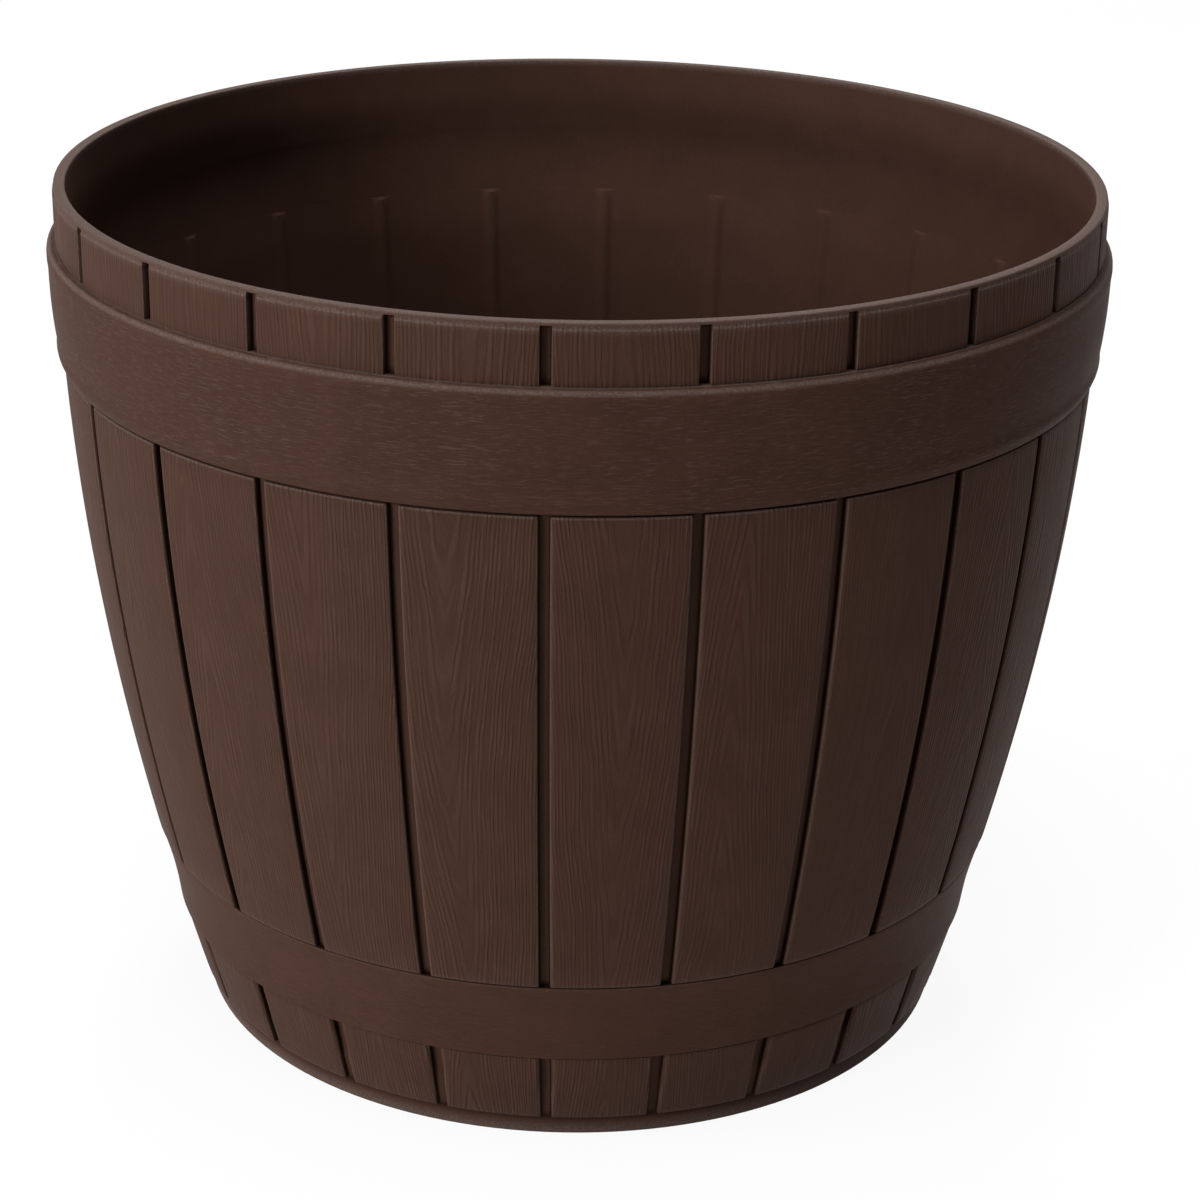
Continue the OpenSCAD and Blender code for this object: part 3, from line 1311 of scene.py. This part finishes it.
@dataclass(frozen=True)
class MouldedPlastic:
    """Plain moulded polypropylene, with a fine satin texture from the mould."""

    name: str
    colour: Triple = (0.0495, 0.0249, 0.0176)
    # The pale colour that the painted highlights and the pale flecks mix towards.
    highlight_and_fleck_colour: Triple = (0.09, 0.062, 0.053)
    roughness: float = 0.55
    rough_change: float = 0.03
    specular: float = 0.018
    gloss_tint: Triple = (1.0, 0.62, 0.45)
    texture_depth: float = 0.02
    texture_scale: float = 900.0
    texture_tones: Span = (0.95, 1.03)
    broad_scale: float = 30.0
    fleck: float = 0.2
    fleck_scale: float = 1600.0
    fleck_range: Span = (0.64, 0.7)
    patch_scale: float = 60.0
    patch_tones: Span = (0.95, 1.05)
    patch_range: Span = (0.25, 0.75)
    # Specks that break the painted highlights into dots.
    speck_scale: float = 1300.0
    speck_range: Span = (0.38, 0.62)
    speck_levels: Span = (0.5, 1.25)

    def relief(self, sheet: NodeSheet, place: Socket) -> tuple[Socket, Socket, Socket]:
        """Works out the height of the surface, how light it is, and how pale.

        Args:
            sheet: The material's nodes.
            place: The point on the object, in metres.

        Returns:
            The height, in millimetres, the tone, which is about 1, and the paleness.
        """
        fine = sheet.noise(place, self.texture_scale, 3.0, 0.6)
        broad = sheet.noise(place, self.broad_scale)
        height = sheet.total(sheet.times(fine, self.texture_depth),
                             sheet.times(broad, self.texture_depth * 2))
        tone = sheet.between(fine, NARROW, self.texture_tones)
        return height, tone, self.flecks(sheet, place)

    def flecks(self, sheet: NodeSheet, place: Socket) -> Socket:
        """Scatters tiny pale flecks."""
        return sheet.between(sheet.noise(place, self.fleck_scale, 1.0), self.fleck_range,
                             (0.0, self.fleck))

    def make(self) -> Material:
        """Makes the material.

        Returns:
            A material of a base colour, a roughness that varies a little, and a relief.
        """
        material, sheet = new_material(self.name)
        place = sheet.add("TexCoord").outputs["Object"]
        height, tone, pale = self.relief(sheet, place)
        bump = sheet.add("Bump", Strength=1.0, Distance=1.0, Height=sheet.times(height, MM))
        patches = sheet.noise(place, self.patch_scale, 3.0)
        shade = sheet.times(tone, sheet.between(patches, WIDE, self.patch_tones))
        # The points' painted shade darkens the colour; their painted highlights, in specks, mix it
        # towards the pale colour.
        painted_level = sheet.add("Attribute", {"attribute_name": LIGHT_AND_SHADE}).outputs["Fac"]
        lit = sheet.times(shade, sheet.math("ADD", painted_level, 1.0, clamp=True))
        grey = sheet.add("CombineColor", Red=lit, Green=lit, Blue=lit).outputs[0]
        toned = sheet.mixed("MULTIPLY", 1.0, (*self.colour, 1.0), grey)
        specks = sheet.between(sheet.noise(place, self.speck_scale, 2.0, 0.7),
                               self.speck_range, self.speck_levels)
        highlight_and_fleck_share = sheet.math("MULTIPLY_ADD", painted_level, specks, pale, clamp=True)
        least, most = self.roughness - self.rough_change, self.roughness + self.rough_change
        surface = sheet.add(
            "BsdfPrincipled",
            Base_Color=sheet.mixed("MIX", highlight_and_fleck_share, toned, (*self.highlight_and_fleck_colour, 1.0)),
            Roughness=sheet.between(patches, self.patch_range, (least, most)),
            Normal=bump.outputs[0], Specular_IOR_Level=self.specular,
            Specular_Tint=(*self.gloss_tint, 1.0),
        )
        sheet.add("OutputMaterial", Surface=surface.outputs[0])
        return material


@dataclass(frozen=True)
class StaveGrain(MouldedPlastic):
    """The same plastic, moulded with the grain of a sawn board on each stave.

    Each board shows the rings of a trunk cut at a slant: long arches about a middle line,
    pointing up on some boards and down on others, with finer fibres between them.
    """

    form: BarrelForm = field(default_factory=BarrelForm)
    collar_boards: float = 31.0
    foot_boards: float = 57.0
    pitch: float = 2.3
    crowding: float = 0.015
    middle_reach: float = 22.0
    wander_reach: float = 12.0
    wander_scale: float = 0.008
    tip: Span = (2.5, 1.2)
    steepness: Span = (0.05, 0.07)
    collar_slant: float = -0.7
    warp: Triple = (0.035, 0.012, 6.0)
    waver: Triple = (0.4, 0.06, 2.0)
    drift_scale: float = 3.7
    valley: Span = (0.0, 0.4)
    fade_scale: Span = (0.8, 0.035)
    fades: Span = (0.1, 1.0)
    fibre_scale: Triple = (3.1, 0.06, 5.3)
    mottle_scale: float = 1500.0
    grain_depth: float = 0.2
    fibre_depth: float = 0.08
    # The grain's lands are painted lighter and paler than its valleys: painted shade in the
    # valleys and painted highlights on the lands.
    grain_tone: float = 0.08
    fibre_tones: Span = (0.86, 0.96)
    mottle_tones: Span = (-0.03, 0.03)
    grain_pale: float = 0.06
    fleck: float = 0.25
    fleck_range: Span = (0.66, 0.72)

    def relief(self, sheet: NodeSheet, place: Socket) -> tuple[Socket, Socket, Socket]:
        """Works out the height of the grain, its tone, with painted shade in its valleys, and its
        paleness, with painted highlights on its lands.

        Args:
            sheet: The material's nodes.
            place: The point on the object, in metres.

        Returns:
            The height, in millimetres, the tone, which is about 1, and the paleness.
        """
        form, pitch = self.form, self.form.groove_pitch
        x, y, z = sheet.add("SeparateXYZ", Vector=place).outputs
        turn = sheet.math("ADD", sheet.math("ARCTAN2", y, x), math.pi / 2)
        turns = sheet.math("DIVIDE", turn, pitch)
        up = sheet.math("DIVIDE", z, MM)
        short = sheet.math("GREATER_THAN", up, form.collar_z)
        low = sheet.math("LESS_THAN", up, form.lower_hoop_z)
        board = sheet.total(sheet.math("FLOOR", turns), sheet.times(short, self.collar_boards),
                            sheet.times(low, self.foot_boards))
        across = sheet.swing(sheet.math("FRACT", turns), pitch * form.belly_r)
        rings = self.rings(sheet, across, up, board, short)

        line = sheet.between(sheet.math("PINGPONG", rings, 0.5), self.valley)
        fade_at = sheet.vector(sheet.times(rings, self.fade_scale[0]),
                               sheet.times(up, self.fade_scale[1]), board)
        land = sheet.times(line, sheet.between(sheet.noise(fade_at, 1.0), NARROW, self.fades))
        fibre_at = sheet.vector(*(sheet.times(part, scale) for part, scale
                                  in zip((rings, up, board), self.fibre_scale)))
        fibres = sheet.noise(fibre_at, 1.0, 3.0, 0.65)
        mottle = sheet.noise(place, self.mottle_scale, 2.0, 0.6)
        height = sheet.total(sheet.times(land, self.grain_depth),
                             sheet.times(fibres, self.fibre_depth * 2),
                             sheet.times(mottle, self.texture_depth * 2))
        # Lighter lands against painted shade in the valleys; the fibres and the mottle are random
        # tone.
        tone = sheet.total(sheet.times(land, self.grain_tone),
                           sheet.between(fibres, WIDE, self.fibre_tones),
                           sheet.between(mottle, NARROW, self.mottle_tones))
        # Painted highlights on the lands, and pale flecks.
        pale = sheet.math("MULTIPLY_ADD", land, self.grain_pale, self.flecks(sheet, place))
        return height, tone, pale

    def rings(self, sheet: NodeSheet, across: Socket, up: Socket, board: Socket,
              short: Socket) -> Socket:
        """Works out which ring of the trunk shows at a point.

        Args:
            sheet: The material's nodes.
            across: The place across the board, in millimetres.
            up: The height, in millimetres.
            board: The board's number.
            short: Whether it is one of the collar's boards, as 0 or 1.

        Returns:
            The ring's number, with its fraction.
        """
        chance = sheet.add("TexWhiteNoise", {"noise_dimensions": "1D"}, W=board)
        parts = sheet.add("SeparateColor", Color=chance.outputs["Color"]).outputs
        wander = sheet.noise(sheet.vector(board, sheet.times(up, self.wander_scale)), 1.0, 1.0)
        middle = sheet.total(sheet.swing(parts[0], self.middle_reach),
                             sheet.swing(wander, self.wander_reach))
        aside = sheet.math("SUBTRACT", across, middle)
        square = sheet.times(aside, aside)
        tip = sheet.math("MULTIPLY_ADD", parts[2], *self.tip)
        arch = sheet.math("SQRT", sheet.math("ADD", square, sheet.times(tip, tip)))
        spread = sheet.math("MULTIPLY_ADD", square, self.crowding, arch)
        way = sheet.math("SUBTRACT", sheet.times(sheet.math("GREATER_THAN", parts[1], 0.5), 2.0),
                         1.0)
        steep = sheet.times(way, sheet.math("MULTIPLY_ADD", parts[2], *self.steepness))
        slant = sheet.times(steep, sheet.math("MULTIPLY_ADD", short, self.collar_slant, 1.0))
        drifts = [self.drift(sheet, across, up, board, drift)
                  for drift in (self.warp, self.waver)]
        return sheet.math("DIVIDE", sheet.total(spread, sheet.times(slant, up), *drifts),
                          self.pitch)

    def drift(self, sheet: NodeSheet, across: Socket, up: Socket, board: Socket,
              drift: Triple) -> Socket:
        """Works out how far the grain strays to one side, by board.

        Args:
            sheet: The material's nodes.
            across: The place across the board, in millimetres.
            up: The height, in millimetres.
            board: The board's number.
            drift: How often it changes per millimetre, across and along the board, and how far
                apart its ends are, in millimetres.

        Returns:
            The distance, in millimetres.
        """
        at = sheet.vector(sheet.times(across, drift[0]), sheet.times(up, drift[1]),
                          sheet.times(board, self.drift_scale))
        return sheet.swing(sheet.noise(at, 1.0), drift[2])


@dataclass(frozen=True)
class HoopStreaks(MouldedPlastic):
    """The same plastic, moulded with short level scratches like those of rolled iron, with painted
    glints on them.
    """

    streak_scale: Triple = (0.22, 0.22, 2.2)
    streak_range: Span = (0.55, 0.67)
    streak_depth: float = 0.1
    # The streaks are painted lighter, and paler in patches, as painted glints.
    streak_tones: Span = (0.92, 1.08)
    group_scale: float = 22.0
    group_range: Span = (0.4, 0.6)
    group_levels: Span = (0.45, 1.0)
    mottle_scale: float = 1100.0
    # How pale the painted glints are.
    glint: float = 0.42
    darkest: float = 0.84
    tone_change: float = 0.09

    def relief(self, sheet: NodeSheet, place: Socket) -> tuple[Socket, Socket, Socket]:
        """Works out the height of the streaks, their tone, with painted glints along them, and
        their paleness, with painted glints in patches.

        Args:
            sheet: The material's nodes.
            place: The point on the object, in metres.

        Returns:
            The height, in millimetres, the tone, which is about 1, and the paleness.
        """
        parts = [sheet.math("DIVIDE", part, MM)
                 for part in sheet.add("SeparateXYZ", Vector=place).outputs]
        streak_at = sheet.vector(*map(sheet.times, parts, self.streak_scale))
        streaks = sheet.noise(streak_at, 1.0, 2.0, 0.55)
        groups = sheet.between(sheet.noise(place, self.group_scale), self.group_range,
                               self.group_levels)
        # Painted glints on the streaks, in patches.
        glints = sheet.times(sheet.between(streaks, self.streak_range), groups)
        mottle = sheet.noise(place, self.mottle_scale, 3.0, 0.6)
        height = sheet.total(sheet.times(glints, self.streak_depth),
                             sheet.times(streaks, self.texture_depth * 2),
                             sheet.times(mottle, self.texture_depth))
        # Darker at random by the mottle, lighter along the streaks as painted glints.
        tones = self.darkest, self.darkest + self.tone_change
        tone = sheet.times(sheet.between(mottle, NARROW, tones),
                           sheet.between(streaks, WIDE, self.streak_tones))
        return height, tone, sheet.times(glints, self.glint)


# ---------------- the studio


@dataclass(frozen=True)
class SoftLamp:
    """A soft lamp that looks at the middle of the barrel, with its power in watts."""

    name: str
    azimuth: float
    elevation: float
    power: float
    size: float = 1.0
    distance: float = 2.8


@dataclass
class Studio:
    """The floor, the lamps, the surroundings and the camera, in metres."""

    target: Triple = (0.0, 0.0, 0.1564)
    camera_azimuth: float = 3.1
    camera_elevation: float = 22.27
    camera_distance: float = 1.1994
    camera_roll: float = 0.82
    camera_clip: Span = (0.05, 60.0)
    target_px: Span = (575.5, 594.9)
    frame_px: float = 1200.0
    focal_px: float = 3000.0
    sensor_mm: float = 36.0
    floor_size: float = 24.0
    floor_drop: float = 0.0004
    floor_white: float = 0.85
    floor_glow: float = 0.93
    lamps: tuple[SoftLamp, ...] = (
        SoftLamp("key", -42.0, 22.0, 57.0),
        SoftLamp("side", -80.0, 6.0, 41.0, size=0.6),
        SoftLamp("top", -10.0, 80.0, 52.0),
        SoftLamp("back", 180.0, 45.0, 50.0),
        SoftLamp("fill", 60.0, 25.0, 4.5),
    )
    ambient: float = 0.02

    @staticmethod
    def direction(azimuth: float, elevation: float) -> Vector:
        """Direction from the barrel towards an azimuth, where 0 is -Y and 90 is +X."""
        a, e = math.radians(azimuth), math.radians(elevation)
        return Vector((math.sin(a) * math.cos(e), -math.cos(a) * math.cos(e), math.sin(e)))

    @staticmethod
    def seen(sheet: NodeSheet) -> Socket:
        """Tells, as 0 or 1, whether a ray from the camera, a gloss or clear stuff looks here."""
        ray = sheet.add("LightPath").outputs
        return sheet.math("MAXIMUM", ray["Is Camera Ray"], sheet.math(
            "MAXIMUM", ray["Is Glossy Ray"], ray["Is Transmission Ray"]))

    @staticmethod
    def mixed(sheet: NodeSheet, *inputs: Socket) -> Socket:
        """Mixes two shaders.

        Args:
            sheet: The nodes.
            *inputs: The share of the second shader, the first shader and the second.

        Returns:
            The mixed shader.
        """
        node = sheet.add("MixShader")
        for socket, value in zip(node.inputs, inputs):
            sheet.put(socket, value)
        return node.outputs[0]

    def floor(self) -> None:
        """Lays the plain white floor, which keeps the barrel's shadow and is clear from below."""
        work = bmesh.new()
        bmesh.ops.create_grid(work, x_segments=1, y_segments=1, size=self.floor_size / 2 / MM)
        bmesh.ops.translate(work, verts=work.verts, vec=(0, 0, -self.floor_drop / MM))
        made = to_object("floor", work)
        material, sheet = new_material("white_floor")
        white = (self.floor_white, self.floor_white, self.floor_white, 1.0)
        matt = sheet.add("BsdfDiffuse", Color=white).outputs[0]
        glow = sheet.add("Emission", Color=(1, 1, 1, 1), Strength=1.0).outputs[0]
        lit = self.mixed(sheet, sheet.times(self.seen(sheet), self.floor_glow), matt, glow)
        below = sheet.add("NewGeometry").outputs["Backfacing"]
        clear = sheet.add("BsdfTransparent").outputs[0]
        sheet.add("OutputMaterial", Surface=self.mixed(sheet, below, lit, clear))
        made.data.materials.append(material)

    def surroundings(self) -> None:
        """Makes a dim even room that the camera sees as white."""
        world = bpy.data.worlds.new("studio")
        bpy.context.scene.world = world
        world.use_nodes = True
        sheet = NodeSheet(world.node_tree)
        strength = sheet.math("MULTIPLY_ADD", self.seen(sheet), 1.0 - self.ambient, self.ambient)
        light = sheet.add("Background", Color=(1, 1, 1, 1), Strength=strength)
        sheet.add("OutputWorld", Surface=light.outputs[0])

    def hang(self, lamp: SoftLamp) -> None:
        """Hangs one lamp.

        Args:
            lamp: The lamp.
        """
        light = bpy.data.lights.new(lamp.name, "AREA")
        light.shape, light.size, light.energy = "DISK", lamp.size, lamp.power
        made = put_in_scene(lamp.name, light)
        way = self.direction(lamp.azimuth, lamp.elevation)
        made.location = Vector(self.target) + way * lamp.distance
        made.rotation_euler = (-way).to_track_quat("-Z", "Y").to_euler()

    def camera(self) -> None:
        """Sets the camera up at the photograph's viewpoint."""
        data = bpy.data.cameras.new("camera")
        data.sensor_width = self.sensor_mm
        data.lens = self.focal_px / self.frame_px * self.sensor_mm
        data.clip_start, data.clip_end = self.camera_clip
        made = put_in_scene("camera", data)
        way = self.direction(self.camera_azimuth, self.camera_elevation)
        made.location = Vector(self.target) + way * self.camera_distance
        off_x, off_y = ((p - self.frame_px / 2) / self.focal_px for p in self.target_px)
        swing = Vector((off_x, -off_y, -1.0)).rotation_difference(Vector((0, 0, -1)))
        roll = Quaternion((0, 0, 1), math.radians(self.camera_roll))
        made.rotation_mode = "QUATERNION"
        made.rotation_quaternion = (-way).to_track_quat("-Z", "Y") @ roll @ swing
        bpy.context.scene.camera = made

    def build(self) -> None:
        """Sets up the whole studio."""
        self.camera()
        self.floor()
        self.surroundings()
        for lamp in self.lamps:
            self.hang(lamp)
        bpy.context.scene.view_settings.view_transform = "Standard"


# ---------------- main


def report(piece: Object) -> None:
    """Logs a piece's size."""
    faces = sum(len(p.vertices) - 2 for p in piece.data.polygons)
    LOG.info("%s: %d triangles, %.1f x %.1f x %.1f mm", piece.name, faces,
             *(side / MM for side in piece.dimensions))


def main() -> None:
    """Builds the studio, the barrel and its plugs, and reports each piece."""
    logging.basicConfig(level=logging.INFO, format="%(name)s: %(message)s")
    Studio().build()
    form = BarrelForm()
    shell = BarrelShell(form)
    barrel = shell.build()
    shell.dress(barrel, {
        Skin.STAVE: StaveGrain("stave_plastic", form=form).make(),
        Skin.HOOP: HoopStreaks("hoop_plastic").make(),
        Skin.PLAIN: MouldedPlastic("plain_plastic").make(),
        # A copy of the plain plastic painted about 6% lighter, as painted light on the inside.
        Skin.INSIDE: MouldedPlastic(
            "inside_plastic", colour=(0.0525, 0.0264, 0.0187), texture_depth=0.012).make(),
        Skin.LOWER_HOOP: HoopStreaks("lower_hoop_plastic", glint=0.1, darkest=0.93).make(),
    })
    report(barrel)
    black_plastic = MouldedPlastic("plug_plastic", colour=(0.014, 0.012, 0.011)).make()
    for index in range(shell.drain_count):
        report(DrainPlug(index, shell).build(black_plastic))


if __name__ == "__main__":
    main()
